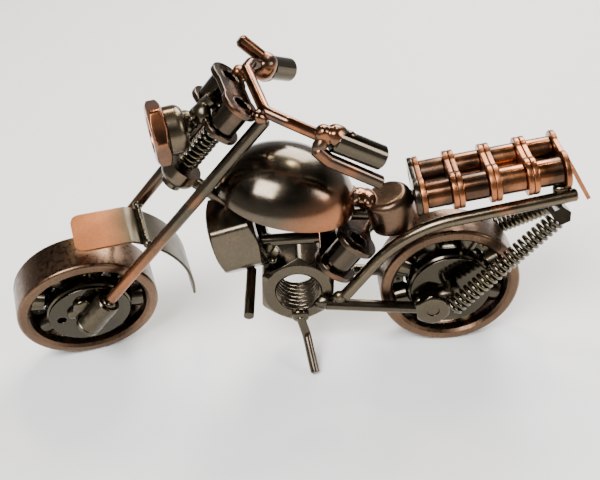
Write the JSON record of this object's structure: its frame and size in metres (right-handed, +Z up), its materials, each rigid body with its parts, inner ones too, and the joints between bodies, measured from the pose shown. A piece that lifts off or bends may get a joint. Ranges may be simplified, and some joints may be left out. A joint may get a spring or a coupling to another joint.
{
  "type": "motorcycle ornament",
  "caption": "Desk ornament of a long-forked motorcycle welded from ball bearings, roller-chain links, hex nuts and bent round bar; the wheels roll and the fork steers.",
  "frame": {"origin": "middle of the bounding box seen from above, on the ground under the wheels", "axes": "+Z up, -X towards the front wheel, -Y towards the model's left side, where the kickstand is"},
  "size_m": [0.189, 0.0554, 0.1062],
  "materials": {
    "tread": "turned antique copper plate with faint bands",
    "ball_steel": "polished",
    "cage_steel": "satin",
    "hub_plate": "glossy black plate",
    "nut_dark": "glossy dark bronze plate",
    "tank_dark": "glossy black plate with copper showing at the edges",
    "frame_dark": "dark bronze plate",
    "rail_olive": "olive dark plate",
    "spring_steel": "dark nickel plate",
    "rack_copper": "bright copper plate",
    "rack_dark": "dark copper plate",
    "cylinder_copper": "antique copper plate",
    "seat_copper": "antique copper plate",
    "fork_copper": "antique copper plate fading to dark",
    "grip_dark": "dark bronze plate",
    "lamp_copper": "antique copper plate",
    "fender_plate": "antique copper plate turning olive at the back"
  },
  "bodies": {
    "frame": {"head_cup": "nut_dark", "down_tube": "frame_dark", "backbone": "frame_dark", "front_nut": "nut_dark", "engine_nut": "nut_dark", "upper_bar": "frame_dark", "cylinder_plates": "cylinder_copper", "cylinder_rollers": "rack_dark", "cylinder_bushes": "rack_dark", "tank_shell": "tank_dark", "tank_post": "frame_dark", "seat_cap": "seat_copper", "seat_neck": "seat_copper", "rail_left": "rail_olive", "rail_right": "rail_olive", "swing_arm_left": "frame_dark", "swing_arm_right": "frame_dark", "rear_axle": "nut_dark", "rear_hub_plates": "hub_plate", "rear_hub_lugs": "nut_dark", "rear_inner_race": "cage_steel", "spring_left": "spring_steel", "spring_right": "spring_steel", "tail_bars": "frame_dark", "tail_block": "frame_dark", "tail_plate": "rack_copper", "rack_plates_1": "rack_copper", "rack_plates_2": "rack_copper", "rack_plates_3": "rack_copper", "rack_plates_4": "rack_copper", "rack_rollers": "rack_copper", "rack_bushes": "rack_copper", "rack_end_plate": "rack_dark", "kickstand": "frame_dark", "foot_peg": "frame_dark"},
    "fork": {"fork_leg_left": "fork_copper", "fork_leg_right": "fork_copper", "clamp_plates": "cylinder_copper", "clamp_rollers": "rack_dark", "clamp_bushes": "rack_dark", "steering_stem": "frame_dark", "steering_spring": "spring_steel", "handlebar": "fork_copper", "grips": "grip_dark", "levers": "fork_copper", "headlamp_nut": "lamp_copper", "headlamp_bowl": "rail_olive", "headlamp_stay": "frame_dark", "fender": "fender_plate", "fender_wire": "fender_plate", "front_axle": "nut_dark", "front_hub_plates": "hub_plate", "front_hub_lugs": "nut_dark", "front_inner_race": "cage_steel"},
    "front_wheel": {"front_outer_race": "tread"},
    "front_balls": {"front_balls": "ball_steel", "front_cage": "cage_steel"},
    "rear_wheel": {"rear_outer_race": "tread"},
    "rear_balls": {"rear_balls": "ball_steel", "rear_cage": "cage_steel"}
  },
  "joints": [
    {"name": "steering", "type": "hinge", "parent": "frame", "child": "fork", "pos_m": [-0.07237, -0.00417, 0.02609], "axis": [0.6691, 0, 0.7431], "range_deg": [-50, 12]},
    {"name": "front_wheel_spin", "type": "hinge", "parent": "fork", "child": "front_wheel", "pos_m": [-0.07029, -0.00309, 0.02422], "axis": [-0.2663, 0.9336, 0.2398], "continuous": true},
    {"name": "front_ball_orbit", "type": "hinge", "parent": "fork", "child": "front_balls", "pos_m": [-0.07029, -0.00309, 0.02422], "axis": [-0.2663, 0.9336, 0.2398], "continuous": true},
    {"name": "rear_wheel_spin", "type": "hinge", "parent": "frame", "child": "rear_wheel", "pos_m": [0.05371, -0.00417, 0.0235], "axis": [0, 1, 0], "continuous": true},
    {"name": "rear_ball_orbit", "type": "hinge", "parent": "frame", "child": "rear_balls", "pos_m": [0.05371, -0.00417, 0.0235], "axis": [0, 1, 0], "continuous": true}
  ],
  "couplings": [
    {"joint": "front_ball_orbit", "follows": "front_wheel_spin", "ratio": 0.6185},
    {"joint": "rear_ball_orbit", "follows": "rear_wheel_spin", "ratio": 0.6185}
  ]
}
